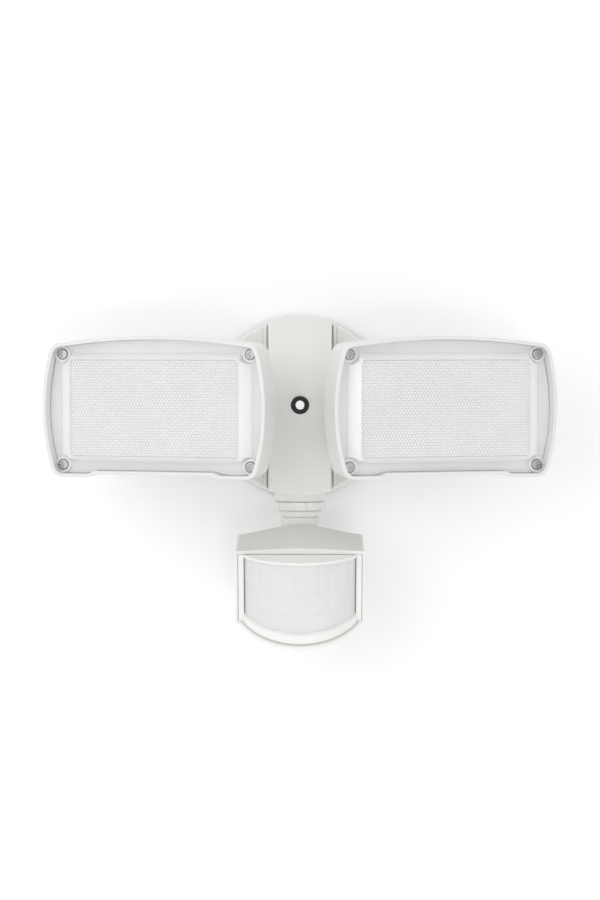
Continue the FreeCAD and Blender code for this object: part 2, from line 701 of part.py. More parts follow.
def on_floor(shape, x, u):
    """Move a shape from the origin (its -Z pointing out) onto the sloped sensor floor."""
    w = -28.0 - (u - REAR_U) * math.tan(math.radians(FLOOR_SLOPE))
    placed = shape.copy()
    placed.rotate(V(0, 0, 0), X_AXIS, FLOOR_SLOPE)
    placed.translate(V(x, su(u), sw(w)))
    return placed


def make_sensor_shell():
    outer = Part.makeLoft([section(REAR_U, SENSOR_HALF, -28.0, 11.2, 17.6),
                           section(HOOD_U, SENSOR_HALF, -40.2, 9.7, 11.4)], True, True)
    sides = [e for e in outer.Edges if abs(abs(e.CenterOfMass.x) - SENSOR_HALF) < 0.1
             and e.BoundBox.YLength > 20]
    outer = outer.makeFillet(2.2, sides)
    half = SENSOR_HALF - SHELL_T
    inner = Part.makeLoft([section(REAR_U + 2.4, half, -26.4, 8.8, 15.1),
                           section(HOOD_U - 1.5, half, -37.6, 7.8, 9.5)], True, True)
    shell = outer.cut(inner)
    mouth = bay(90.0, half, HOOD_U - 4.0, INNER_LOW, (SHELF_W + GAP, 0.0))
    shell = shell.cut(mouth)
    lip = bay(LIP_R, SENSOR_HALF, FRAME_U, LIP_LOW, LIP_HIGH)
    ears = []
    for side in (-1, 1):
        x0, x1 = sorted((side * 7.4, side * 12.0))
        ear = rod("x", 9.0, x0, x1, SENSOR_Y, TILT_Z)
        ears.append(ear.fuse(box(x0, x1, su(REAR_U + 1.0), SENSOR_Y, TILT_Z - 9, TILT_Z + 9)))
    posts = [rod("y", 2.6, su(24.2), su(REAR_U + 1.0), x, sw(w))
             for x in (-24, 24) for w in (-18, 4)]
    shell = fuse([shell, lip] + ears + posts)
    for x in (-24, 24):
        for w in (-18, 4):
            shell = shell.cut(rod("y", 1.2, su(25.0), su(18.4), x, sw(w)))
    shell = shell.cut(rod("x", 2.5, -40, 40, SENSOR_Y, TILT_Z))
    for k in (-1, 0, 1):
        shell = shell.cut(on_floor(rod("z", 2.3, -5, 8), k * DIAL_X, DIAL_U))
        shell = shell.cut(on_floor(rod("z", 5.6, -5, 0.9), k * DIAL_X, DIAL_U))
    for x, y, z in frame_screw_spots():
        hole = rod("z", 1.5, -10, 3)
        shell = shell.cut(lip_place(hole, x))
    return shell


def frame_screw_spots():
    w = LIP_LOW[0] + LIP_LOW[1] * (LIP_SCREW_U - 50.0)
    return [(x, su(LIP_SCREW_U), sw(w)) for x in (-26.0, 26.0)]


def lip_place(shape, x):
    """Move a shape onto the sloped lower lip, its -Z pointing out."""
    placed = shape.copy()
    placed.rotate(V(0, 0, 0), X_AXIS, math.degrees(math.atan(-LIP_LOW[1])))
    y, z = frame_screw_spots()[0][1:]
    placed.translate(V(x, y, z))
    return placed


def make_sensor_frame():
    half = SENSOR_HALF - SHELL_T - 0.3
    block = bay(FRAME_R, half, FRAME_U, FRAME_LOW, (SHELF_W, 0.0))
    flat = box(-half, half, su(POST_U), su(FRAME_U), sw(-70), sw(20))
    block = block.fuse(flat.common(slab(FRAME_LOW, (SHELF_W, 0.0)))).removeSplitter()
    chin = [e for e in block.Edges if e.Curve.TypeId != "Part::GeomLine"
            and e.CenterOfMass.z < sw(-30) and e.BoundBox.XLength > 40]
    block = block.makeFillet(0.7, chin)
    for side in (-1, 1):
        x0, x1 = sorted((side * LENS_HALF, side * 60.0))
        block = block.cut(box(x0, x1, su(90), su(POST_U), sw(-70), sw(20)))
    window = box(-LENS_HALF, LENS_HALF, su(90), su(FRAME_U) + 5, sw(-70), sw(LENS_TOP_W))
    window = window.common(slab(LENS_LOW, (60.0, 0.0)))
    frame = block.cut(window)
    for x, y, z in frame_screw_spots():
        frame = frame.cut(lip_place(rod("z", 1.2, -2, 6.0), x))
    return frame


def make_sensor_lens():
    shell = tube("z", LENS_R, LENS_R - LENS_T, sw(-80), sw(LENS_TOP_W), 0, su(LENS_CENTRE_U))
    keep = box(-LENS_HALF, LENS_HALF, su(90), su(44), sw(-80), sw(20))
    return shell.common(keep).common(slab(LENS_LOW, (60.0, 0.0)))


def make_sensor_board():
    board = box(-30, 30, su(25.8), su(24.2), sw(-24), sw(6))
    for x in (-24, 24):
        for w in (-18, 4):
            board = board.cut(rod("y", 1.4, su(30), su(20), x, sw(w)))
    return board


def make_board_bolts():
    return Part.makeCompound([screw_y(x, sw(w), su(25.8), 1.6, 2.4, 1.2, su(19.0))
                              for x in (-24, 24) for w in (-18, 4)])


def make_pir_element():
    can = rod("y", 4.6, su(30.6), su(25.8), 0, sw(-10))
    rim = rod("y", 5.2, su(26.6), su(25.8), 0, sw(-10))
    window = box(-2.0, 2.0, su(31), su(30.2), sw(-11.5), sw(-8.5))
    return can.fuse(rim).cut(window)


def make_photocell():
    return rod("y", 2.6, su(28.4), su(25.8), 14.0, sw(-10))


def make_dial(k):
    """Setting knob with a pointer slot; its spindle runs in the sensor floor."""
    knob = rod("z", 5.2, -2.2, 0.5)
    knob = knob.cut(box(-0.7, 0.7, -4.0, 4.0, -2.6, -1.2))
    for n in range(10):
        ang = 2 * math.pi * n / 10
        knob = knob.cut(rod("z", 0.7, -3, 1, 5.5 * math.cos(ang), 5.5 * math.sin(ang)))
    stem = rod("z", 2.2, 0.4, 4.6)
    clip = rod("z", 3.2, 3.6, 4.6)
    return on_floor(knob.fuse(stem).fuse(clip).removeSplitter(), k * DIAL_X, DIAL_U)


def make_frame_screws():
    screws = []
    for x, y, z in frame_screw_spots():
        head = rod("z", 2.6, -1.7, 0)
        head = head.cut(box(-2.0, 2.0, -2.5, -1.0, -0.4, 0.4).fuse(
            box(-0.4, 0.4, -2.0, 2.0, -2.5, -1.0)))
        screws.append(lip_place(head.fuse(rod("z", 1.15, 0, 5.6)).removeSplitter(), x))
    return Part.makeCompound(screws)


def make_tilt_bolt():
    bolt = rod("x", 2.42, -16.2, 12.0, SENSOR_Y, TILT_Z)
    head = rod("x", 4.4, 12.0, 15.0, SENSOR_Y, TILT_Z)
    head = head.cut(hex_prism("x", 3.6, 13.4, 16, SENSOR_Y, TILT_Z))
    return bolt.fuse(head).removeSplitter()


def make_tilt_nut():
    nut = hex_prism("x", 8.0, -15.6, -12.0, SENSOR_Y, TILT_Z)
    return nut.cut(rod("x", 2.42, -20, 0, SENSOR_Y, TILT_Z))


def pitch(shape):
    pitched = shape.copy()
    pitched.rotate(V(0, SENSOR_Y, TILT_Z), X_AXIS, SENSOR_PITCH)
    return pitched


def make_neck():
    neck = fuse([rod("z", NECK_IN_R, -71.6, -52.5, 0, SENSOR_Y),
                 Part.makeCone(14.7, 14.3, 3.7, V(0, SENSOR_Y, -71.6), V(0, 0, -1)),
                 rod("z", NECK_R, -83.0, -75.2 - NECK_GROOVE, 0, SENSOR_Y),
                 rod("z", NECK_R - NECK_GROOVE, -76.0, -75.2, 0, SENSOR_Y)])
    foot = box(-7.0, 7.0, SENSOR_Y - 9, SENSOR_Y + 9, TILT_Z, -82.5)
    foot = foot.fuse(rod("x", 9.0, -7.0, 7.0, SENSOR_Y, TILT_Z))
    neck = fuse([neck, foot])
    neck = neck.cut(rod("z", NECK_BORE_R, -81.0, -50, 0, SENSOR_Y))
    return neck.cut(rod("x", 2.5, -30, 30, SENSOR_Y, TILT_Z))


def make_neck_retainer():
    nut = hex_prism("z", 23.0, -56.8, -52.8, 0, SENSOR_Y)
    return nut.cut(rod("z", NECK_IN_R, -70, -40, 0, SENSOR_Y))


def make_neck_seal():
    seal = Part.makeTorus(NECK_IN_R + 0.6, 0.75, V(0, SENSOR_Y, -68.4), Z_AXIS)
    return seal.cut(rod("z", NECK_IN_R, -75, -60, 0, SENSOR_Y))


def make_neck_clamp_nut():
    return ribbed_nut("z", NECK_CLAMP_R, -71.2, COLLAR_END_Z - GAP, 0, SENSOR_Y,
                      [(NECK_SPIGOT_R + GAP, -69.6, -60), (NECK_IN_R + GAP, -80, -60)], 10)


# ---------------------------------------------------------------- export
def export(parts):
    os.makedirs("parts", exist_ok=True)
    for name, shape in parts.items():
        shape.exportStep("parts/" + name + ".step")
        kinds = "valid" if shape.isValid() else "INVALID"
        print(name, kinds, len(shape.Solids), round(shape.Volume, 1))


def main():
    case, board, case_screws = make_driver()
    parts = {
        "canopy": make_canopy(),
        "wall_gasket": make_wall_gasket(),
        "crossbar": make_crossbar(),
        "mount_bolt": make_mount_bolt(),
        "bolt_seal": make_bolt_seal(),
        "ground_screw": make_ground_screw(),
        "driver_case": case,
        "driver_board": board,
        "driver_screws": case_screws,
        "terminal_block": make_terminal_block(),
        "terminal_screws": make_terminal_screws(),
        "neck": make_neck(),
        "neck_retainer": make_neck_retainer(),
        "neck_seal": make_neck_seal(),
        "neck_clamp_nut": make_neck_clamp_nut(),
        "sensor_shell": pitch(make_sensor_shell()),
        "sensor_frame": pitch(make_sensor_frame()),
        "sensor_lens": pitch(make_sensor_lens()),
        "sensor_board": pitch(make_sensor_board()),
        "sensor_board_screws": pitch(make_board_bolts()),
        "pir_element": pitch(make_pir_element()),
        "photocell": pitch(make_photocell()),
        "frame_screws": pitch(make_frame_screws()),
        "tilt_bolt": pitch(make_tilt_bolt()),
        "tilt_nut": pitch(make_tilt_nut()),
    }
    for k, name in ((-1, "dial_time"), (0, "dial_range"), (1, "dial_dusk")):
        parts[name] = pitch(make_dial(k))
    left = {name: tilt_arm(shape) for name, shape in arm_parts().items()}
    left.update({name: place_head(shape) for name, shape in head_parts().items()})
    for name, shape in left.items():
        parts[name + "_l"] = shape
        parts[name + "_r"] = shape.mirror(V(0, 0, 0), X_AXIS)
    export(parts)


main()
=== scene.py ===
import json
import math

import bmesh
import bpy
from mathutils import Matrix, Vector


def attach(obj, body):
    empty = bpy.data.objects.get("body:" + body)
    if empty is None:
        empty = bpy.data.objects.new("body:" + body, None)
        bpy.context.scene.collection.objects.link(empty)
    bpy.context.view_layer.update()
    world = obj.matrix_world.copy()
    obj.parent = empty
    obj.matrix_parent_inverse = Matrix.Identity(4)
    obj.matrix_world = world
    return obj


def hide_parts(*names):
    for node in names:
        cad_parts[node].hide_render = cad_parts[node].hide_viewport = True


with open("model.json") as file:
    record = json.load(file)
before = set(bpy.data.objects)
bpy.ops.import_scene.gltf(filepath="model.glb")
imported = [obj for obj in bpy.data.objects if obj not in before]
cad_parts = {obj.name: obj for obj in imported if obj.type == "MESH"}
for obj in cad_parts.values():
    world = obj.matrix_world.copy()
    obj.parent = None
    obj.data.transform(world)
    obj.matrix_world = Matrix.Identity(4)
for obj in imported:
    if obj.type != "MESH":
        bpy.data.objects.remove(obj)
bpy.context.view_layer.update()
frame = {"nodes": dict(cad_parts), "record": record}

MM = 0.001
NODES = frame["nodes"]

# ---------------------------------------------------------------- placement of the moving groups
ARM_AXIS = Vector((0.0, -34.5, -0.4)) * MM
HEAD_FRONT = Vector((-94.7, -110.2, -0.4)) * MM
TOE_OUT = math.radians(12.5)
HEAD_TILT = math.radians(3.5)
SENSOR_AXIS = Vector((0.0, -35.0, -95.0)) * MM
SENSOR_PITCH = math.radians(12.0)


def about(point, matrix):
    return Matrix.Translation(point) @ matrix @ Matrix.Translation(-point)


def head_matrix(side):
    """From head coordinates (rim centre, +Y to the rear) to the row frame."""
    turn = Matrix.Rotation(side * TOE_OUT, 4, "Z")
    front = Vector((-side * HEAD_FRONT.x, HEAD_FRONT.y, HEAD_FRONT.z))
    tilt = about(ARM_AXIS, Matrix.Rotation(HEAD_TILT, 4, "X"))
    return tilt @ Matrix.Translation(front) @ turn


def sensor_matrix():
    """From sensor coordinates (x, -u, w about the tilt axis) to the row frame."""
    return Matrix.Translation(SENSOR_AXIS) @ Matrix.Rotation(SENSOR_PITCH, 4, "X")


# ---------------------------------------------------------------- materials
def new_material(name):
    """Empty node material with one Principled shader."""
    mat = bpy.data.materials.new(name)
    mat.use_nodes = True
    tree = mat.node_tree
    tree.nodes.clear()
    out = tree.nodes.new("ShaderNodeOutputMaterial")
    bsdf = tree.nodes.new("ShaderNodeBsdfPrincipled")
    tree.links.new(bsdf.outputs[0], out.inputs[0])
    return mat, tree, bsdf


def noise(tree, scale, detail=3.0, rough=0.55, stretch=None):
    """Noise in object coordinates, stretched along an axis for brushed metal."""
    coord = tree.nodes.new("ShaderNodeTexCoord")
    tex = tree.nodes.new("ShaderNodeTexNoise")
    tex.inputs["Scale"].default_value = scale
    tex.inputs["Detail"].default_value = detail
    tex.inputs["Roughness"].default_value = rough
    if stretch:
        mapping = tree.nodes.new("ShaderNodeMapping")
        mapping.inputs["Scale"].default_value = stretch
        tree.links.new(coord.outputs["Object"], mapping.inputs["Vector"])
        tree.links.new(mapping.outputs[0], tex.inputs["Vector"])
    else:
        tree.links.new(coord.outputs["Object"], tex.inputs["Vector"])
    return tex.outputs["Fac"]


def ramp(tree, source, low, high, lo_pos=0.35, hi_pos=0.65):
    node = tree.nodes.new("ShaderNodeValToRGB")
    node.color_ramp.elements[0].position = lo_pos
    node.color_ramp.elements[1].position = hi_pos
    node.color_ramp.elements[0].color = (*low, 1.0)
    node.color_ramp.elements[1].color = (*high, 1.0)
    tree.links.new(source, node.inputs["Fac"])
    return node.outputs["Color"]


def remap(tree, source, lo, hi, from_lo=0.3, from_hi=0.7):
    node = tree.nodes.new("ShaderNodeMapRange")
    node.inputs["From Min"].default_value = from_lo
    node.inputs["From Max"].default_value = from_hi
    node.inputs["To Min"].default_value = lo
    node.inputs["To Max"].default_value = hi
    tree.links.new(source, node.inputs["Value"])
    return node.outputs["Result"]


def bump(tree, bsdf, heights, distance):
    """Adds up height sources given as (socket, weight) and bumps the shader with them."""
    total = None
    for socket, weight in heights:
        scaled = tree.nodes.new("ShaderNodeMath")
        scaled.operation = "MULTIPLY"
        scaled.inputs[1].default_value = weight
        tree.links.new(socket, scaled.inputs[0])
        if total is None:
            total = scaled.outputs[0]
        else:
            add = tree.nodes.new("ShaderNodeMath")
            tree.links.new(total, add.inputs[0])
            tree.links.new(scaled.outputs[0], add.inputs[1])
            total = add.outputs[0]
    node = tree.nodes.new("ShaderNodeBump")
    node.inputs["Distance"].default_value = distance
    node.inputs["Strength"].default_value = 1.0
    tree.links.new(total, node.inputs["Height"])
    tree.links.new(node.outputs[0], bsdf.inputs["Normal"])


def shade(color, amount):
    """Lighter or darker version of a colour."""
    return tuple(max(0.0, min(1.0, c * amount)) for c in color)


def shade_top_faces(tree, color, amount):
    """Darkens the faces that look straight up: painted shade for the weak light from above."""
    coord = tree.nodes.new("ShaderNodeTexCoord")
    axes = tree.nodes.new("ShaderNodeSeparateXYZ")
    tree.links.new(coord.outputs["Normal"], axes.inputs[0])
    factor = remap(tree, axes.outputs["Z"], 1.0, 1.0 - amount, 0.55, 0.85)
    scale = tree.nodes.new("ShaderNodeVectorMath")
    scale.operation = "SCALE"
    tree.links.new(color, scale.inputs[0])
    tree.links.new(factor, scale.inputs["Scale"])
    return scale.outputs[0]


SCATTER_REACH = 0.0012


def grained(name, color, rough, grain, depth, vary=0.02, metallic=0.0, spread=0.06, coat=0.0,
            top_shade=0.0, soft=0.0):
    """Moulded or painted surface: fine grain, faint mottling and uneven gloss.

    top_shade darkens the faces that look up as painted shade for the weak light from above, and soft
    lets light scatter under the surface.
    """
    mat, tree, bsdf = new_material(name)
    cloud = noise(tree, 22.0, 4.0)
    fine = noise(tree, grain, 2.0, 0.6)
    wave = noise(tree, 90.0, 2.0)
    tint = ramp(tree, cloud, shade(color, 1 - vary), shade(color, 1 + vary * 0.4))
    # Painted shade: faces that look up are darkened.
    if top_shade:
        tint = shade_top_faces(tree, tint, top_shade)
    tree.links.new(tint, bsdf.inputs["Base Color"])
    tree.links.new(remap(tree, fine, rough - spread, rough + spread), bsdf.inputs["Roughness"])
    bsdf.inputs["Metallic"].default_value = metallic
    bsdf.inputs["Subsurface Weight"].default_value = soft
    bsdf.inputs["Subsurface Radius"].default_value = (1.0, 1.0, 1.0)
    bsdf.inputs["Subsurface Scale"].default_value = SCATTER_REACH
    bsdf.inputs["Coat Weight"].default_value = coat
    bsdf.inputs["Coat Roughness"].default_value = 0.25
    if depth:
        bump(tree, bsdf, [(fine, 1.0), (wave, 0.8)], depth)
    return mat


def brushed(name, color, rough, stretch):
    """Plated or machined metal with fine lines along one axis."""
    mat, tree, bsdf = new_material(name)
    lines = noise(tree, 500.0, 4.0, 0.6, stretch)
    cloud = noise(tree, 60.0, 3.0)
    tree.links.new(ramp(tree, cloud, shade(color, 0.88), shade(color, 1.06)),
                   bsdf.inputs["Base Color"])
    tree.links.new(remap(tree, lines, rough - 0.08, rough + 0.12), bsdf.inputs["Roughness"])
    bsdf.inputs["Metallic"].default_value = 1.0
    bump(tree, bsdf, [(lines, 1.0)], 0.00003)
    return mat


def clear(name, color, alpha, rough, glow=0.0, depth=0.00001):
    """Clear or milky plastic: the surface gloss stays while part of the body is see-through.

    glow is painted light: the plastic gives off an even light of its own, though it is no lamp.
    """
    mat, tree, bsdf = new_material(name)
    cloud = noise(tree, 40.0, 3.0)
    fine = noise(tree, 600.0, 2.0)
    tree.links.new(ramp(tree, cloud, shade(color, 0.985), color), bsdf.inputs["Base Color"])
    tree.links.new(remap(tree, fine, rough * 0.93, rough * 1.07), bsdf.inputs["Roughness"])
    tree.links.new(remap(tree, cloud, alpha - 0.015, alpha + 0.015), bsdf.inputs["Alpha"])
    bsdf.inputs["IOR"].default_value = 1.49
    # Painted light: white emission of strength glow.
    bsdf.inputs["Emission Color"].default_value = (1.0, 1.0, 1.0, 1.0)
    bsdf.inputs["Emission Strength"].default_value = glow
    if depth:
        bump(tree, bsdf, [(fine, 1.0)], depth)
    return mat


def board_material(name, mask, trace):
    """Solder mask over copper: faint straight tracks under the lacquer."""
    mat, tree, bsdf = new_material(name)
    coord = tree.nodes.new("ShaderNodeTexCoord")
    brick = tree.nodes.new("ShaderNodeTexBrick")
    brick.inputs["Scale"].default_value = 130.0
    brick.inputs["Mortar Size"].default_value = 0.03
    brick.inputs["Color1"].default_value = (*mask, 1.0)
    brick.inputs["Color2"].default_value = (*shade(mask, 0.85), 1.0)
    brick.inputs["Mortar"].default_value = (*trace, 1.0)
    tree.links.new(coord.outputs["Object"], brick.inputs["Vector"])
    tree.links.new(brick.outputs["Color"], bsdf.inputs["Base Color"])
    fine = noise(tree, 900.0)
    tree.links.new(remap(tree, fine, 0.25, 0.4), bsdf.inputs["Roughness"])
    bump(tree, bsdf, [(brick.outputs["Fac"], -1.0), (fine, 0.3)], 0.00003)
    return mat


WHITE = (0.805, 0.797, 0.779)
MATERIALS = {
    # The canopy plastic gets painted shade on the faces that look up.
    "white_plastic": grained("canopy_white", WHITE, 0.42, 1500.0, 0.00005, top_shade=0.12,
                             soft=0.5),
    "white_paint": grained("head_white", (0.735, 0.733, 0.718), 0.36, 1100.0, 0.00003, coat=0.15),
    "frame_plastic": grained("frame_white", (0.84, 0.84, 0.825), 0.28, 1500.0, 0.0,
                             spread=0.01),
    "bracket_paint": grained("bracket_white", (0.79, 0.79, 0.775), 0.40, 1200.0, 0.00004),
    "reflector_white": grained("reflector_white", (0.86, 0.86, 0.855), 0.28, 700.0, 0.00002),
    "white_head": grained("bolt_white", (0.95, 0.95, 0.94), 0.20, 900.0, 0.00001,
                          metallic=0.85, spread=0.04),
    "black_rubber": grained("black_rubber", (0.012, 0.012, 0.013), 0.62, 1600.0, 0.00006,
                            vary=0.25),
    "light_silicone": grained("light_silicone", (0.74, 0.74, 0.75), 0.38, 900.0, 0.00003),
    "grey_foam": grained("grey_foam", (0.07, 0.07, 0.072), 0.85, 700.0, 0.0003, vary=0.3),
    "grey_plastic": grained("grey_plastic", (0.16, 0.165, 0.175), 0.5, 1300.0, 0.00005),
    "dark_dial": grained("dial_black", (0.03, 0.03, 0.032), 0.4, 1500.0, 0.00004, vary=0.12),
    "green_screw": grained("green_screw", (0.05, 0.30, 0.10), 0.35, 900.0, 0.00003,
                           metallic=0.6, vary=0.1),
    "photo_cell": grained("photocell_red", (0.42, 0.10, 0.05), 0.2, 1200.0, 0.00002),
    "led": grained("phosphor", (0.80, 0.58, 0.12), 0.45, 1500.0, 0.00004, vary=0.05),
    "zinc_steel": brushed("zinc_steel", (0.62, 0.62, 0.60), 0.34, (1.0, 12.0, 12.0)),
    "steel_screw": brushed("steel_screw", (0.46, 0.46, 0.465), 0.34, (6.0, 1.0, 6.0)),
    "metal_can": brushed("nickel_can", (0.70, 0.69, 0.66), 0.22, (3.0, 3.0, 14.0)),
    "board": board_material("solder_mask_green", (0.02, 0.16, 0.06), (0.05, 0.26, 0.10)),
    "white_board": board_material("solder_mask_white", (0.78, 0.78, 0.77), (0.68, 0.68, 0.66)),
    # The clear cover glows a little: painted light.
    "clear_plastic": clear("cover_clear", (0.91, 0.91, 0.92), 0.66, 0.10, glow=0.055),
    "lens_plastic": clear("lens_milky", (0.765, 0.765, 0.755), 0.94, 0.34, depth=0.0),
}
# Lit and shaded copies of the cover plastic: the valleys between the domes are darker, painted shade in
# the creases, and the plateau walls are lighter and glow, painted light.
PRISM = clear("cover_prisms", (0.88, 0.866, 0.873), 0.90, 0.22)
PRISM_VALLEY_SHADED = clear("cover_valleys_shaded", (0.80, 0.787, 0.797), 0.86, 0.25)
COVER_WALL_LIT = clear("cover_walls_lit", (0.95, 0.942, 0.947), 0.92, 0.16, glow=0.06)
LED_BODY = grained("led_package", (0.84, 0.84, 0.82), 0.4, 1500.0, 0.00003)

SLOT_OF = {p["node"]: p["material_slot"] for p in frame["record"]["subparts"]}


def smooth_by_angle(obj, degrees):
    """Smooth shading, with a crease wherever two faces meet at more than the given angle."""
    for poly in obj.data.polygons:
        poly.use_smooth = True
    limit = math.radians(degrees)
    bm = bmesh.new()
    bm.from_mesh(obj.data)
    for edge in bm.edges:
        edge.smooth = len(edge.link_faces) == 2 and edge.calc_face_angle(0.0) < limit
    bm.to_mesh(obj.data)
    bm.free()


def dress_cad_nodes():
    """Gives each CAD node the material of its slot."""
    for name, obj in NODES.items():
        mat = MATERIALS[SLOT_OF[name]]
        obj.data.materials.clear()
        obj.data.materials.append(mat)
        for poly in obj.data.polygons:
            poly.material_index = 0


# ---------------------------------------------------------------- mesh helpers
def make_object(name, verts, faces, mats, indices, matrix):
    """Mesh object with outward normals; indices gives each face's material, if there are several."""
    mesh = bpy.data.meshes.new(name)
    mesh.from_pydata([tuple(v) for v in verts], [], faces)
    for mat in mats:
        mesh.materials.append(mat)
    if indices:
        for poly, index in zip(mesh.polygons, indices):
            poly.material_index = index
    mesh.transform(matrix)
    bm = bmesh.new()
    bm.from_mesh(mesh)
    bmesh.ops.recalc_face_normals(bm, faces=bm.faces)
    bm.to_mesh(mesh)
    bm.free()
    mesh.update()
    obj = bpy.data.objects.new(name, mesh)
    bpy.context.scene.collection.objects.link(obj)
    return obj


def scaled_points(verts):
    """Points in mm as points in metres."""
    return [(x * MM, y * MM, z * MM) for x, y, z in verts]


def rounded_loop(hx, hz, r, cz, per_corner=14, per_side=24):
    """Points (x, z) round a rounded rectangle, the same count whatever its size."""
    pts = []
    corners = [(hx - r, hz - r, 0.0), (-hx + r, hz - r, 90.0), (-hx + r, -hz + r, 180.0),
               (hx - r, -hz + r, 270.0)]
    for k, (cx, cy, start) in enumerate(corners):
        for i in range(per_corner + 1):
            a = math.radians(start + 90.0 * i / per_corner)
            pts.append((cx + r * math.cos(a), cz + cy + r * math.sin(a)))
        nx, ny, nstart = corners[(k + 1) % 4]
        a = math.radians(start + 90.0)
        b = math.radians(nstart)
        p = (cx + r * math.cos(a), cz + cy + r * math.sin(a))
        q = (nx + r * math.cos(b), cz + ny + r * math.sin(b))
        for i in range(1, per_side):
            t = i / per_side
            pts.append((p[0] + (q[0] - p[0]) * t, p[1] + (q[1] - p[1]) * t))
    return pts


SCREW_X = 63.0
SCREW_Z = 36.0
SCREWS = [(sx * SCREW_X, sz * SCREW_Z) for sx in (-1, 1) for sz in (-1, 1)]


def notch(pts, radius):
    """Pushes a loop out of the four screw wells."""
    out = []
    for x, z in pts:
        for cx, cz in SCREWS:
            dx = x - cx
            dz = z - cz
            d = math.hypot(dx, dz)
            if d < radius:
                if d < 1e-6:
                    dx, dz, d = -cx, -cz, math.hypot(cx, cz)
                x = cx + dx / d * radius
                z = cz + dz / d * radius
        out.append((x, z))
    return out


PLATEAU_Z = 1.2


# Head outline in mm: how far it reaches at mid side and top, how much that shrinks towards the
# corners, and the lower edge with its deeper tabs.
SIDE_MID_X = 74.4
SIDE_BOW_UPPER = 6.1
SIDE_BOW_LOWER = 7.1
TOP_MID_Z = 47.6
TOP_BOW = 5.2
TOP_CORNER_X = 68.3
LOW_MID_Z = 41.8
TAB_DEPTH = 1.9
TAB_START_X = 40.5
TAB_RAMP = 4.5
GUIDE_X = 66.0
GUIDE_Z = 40.0
GUIDE_R = 5.5


def outline_loop(inset):
    """Points (x, z) of the head outline: a guide rectangle stretched to bowed top and sides."""
    pts = []
    for x, z in rounded_loop(GUIDE_X, GUIDE_Z, GUIDE_R, 0.0):
        across = x / GUIDE_X
        up = z / GUIDE_Z
        bow = SIDE_BOW_UPPER if z > 0 else SIDE_BOW_LOWER
        px = across * (SIDE_MID_X - bow * up * up - inset)
        if up > 0:
            reach = TOP_MID_Z - TOP_BOW * (px / TOP_CORNER_X) ** 2
        else:
            ramp_part = (abs(px) - TAB_START_X) / TAB_RAMP
            reach = LOW_MID_Z + TAB_DEPTH * max(0.0, min(1.0, ramp_part))
        pts.append((px, up * (reach - inset)))
    return pts


# Edge of the cover from its back edge outside, over the front, to its back edge inside. The flange
# rings give (inset from the head outline, y); the plateau rings give (half width, half height,
# corner radius, y, radius kept clear round each screw or None).
FLANGE_RINGS = ((2.3, 11.4), (2.3, 9.5), (2.6, 9.05))
PLATEAU_RINGS = (
    (64.2, 36.0, 4.0, 9.05, 6.7),
    (63.4, 35.2, 3.4, 8.7, 6.5),
    (62.0, 34.6, 3.2, 7.2, 6.5),
    (59.6, 33.5, 3.0, 4.6, 6.5),
    (57.4, 32.5, 2.8, 2.2, None),
    (57.0, 32.3, 2.6, 1.75, None),
    (56.4, 31.9, 2.4, 1.55, None),
    (55.7, 31.3, 2.0, 1.55, None),
    (55.2, 30.8, 1.6, 3.6, None),
    (57.4, 31.6, 2.0, 5.6, None),
    (61.2, 33.0, 2.5, 11.4, 8.4),
)
# Material of each part of the cover, as an index into its list of materials.
CLEAR, DOME, VALLEY, WALL = range(4)
WALL_BANDS = range(4, 8)
# The plateau's front rim and the step down to the prism panel take the darker valley material: painted
# shade.
FRAME_BANDS = range(8, 12)


def band_kind(index):
    """Material of the band of faces that starts at ring index."""
    if index in WALL_BANDS:
        return WALL
    return VALLEY if index in FRAME_BANDS else CLEAR


def cover_mesh(name, side):
    """Clear cover: flange, screw wells, sloped plateau walls and a honeycomb of small prisms."""
    rings = []
    for inset, y in FLANGE_RINGS:
        rings.append([(x, y, z) for x, z in outline_loop(inset)])
    for hx, hz, r, y, well in PLATEAU_RINGS:
        pts = rounded_loop(hx, hz, r, PLATEAU_Z)
        if well:
            pts = notch(pts, well)
        rings.append([(x, y, z) for x, z in pts])
    count = len(rings[0])
    verts = [p for loop in rings for p in loop]
    faces = []
    kinds = []
    for i in range(len(rings)):
        j = (i + 1) % len(rings)
        for k in range(count):
            n = (k + 1) % count
            faces.append((i * count + k, i * count + n, j * count + n, j * count + k))
            kinds.append(band_kind(i))
    add_prisms(verts, faces, kinds)
    add_collars(verts, faces, kinds)
    mats = [MATERIALS["clear_plastic"], PRISM, PRISM_VALLEY_SHADED, COVER_WALL_LIT]
    obj = make_object(name, scaled_points(verts), faces, mats, kinds, head_matrix(side))
    smooth_by_angle(obj, 38.0)
    return obj


# Section of the ring round each screw, as (radius, y).
COLLAR = [(3.8, 9.3), (3.8, 7.5), (4.1, 7.15), (4.8, 7.15), (5.2, 7.5), (5.4, 9.3)]
COLLAR_STEPS = 40


def add_collars(verts, faces, kinds):
    """Raised ring round each screw, the edge of its well."""
    for cx, cz in SCREWS:
        start = len(verts)
        for r, y in COLLAR:
            for k in range(COLLAR_STEPS):
                a = 2 * math.pi * k / COLLAR_STEPS
                verts.append((cx + r * math.cos(a), y, cz + r * math.sin(a)))
        for i in range(len(COLLAR)):
            j = (i + 1) % len(COLLAR)
            for k in range(COLLAR_STEPS):
                n = (k + 1) % COLLAR_STEPS
                faces.append((start + i * COLLAR_STEPS + k, start + i * COLLAR_STEPS + n,
                              start + j * COLLAR_STEPS + n, start + j * COLLAR_STEPS + k))
                kinds.append(CLEAR)


HEX_PITCH = 2.1
HEX_RISE = 0.55
SHOULDER_SIZE = 0.62
SHOULDER_RISE = HEX_RISE * 0.72
PANEL_X = 55.6
PANEL_Z = 31.2
PANEL_FRONT_Y = 2.35
PANEL_BACK_Y = 3.5


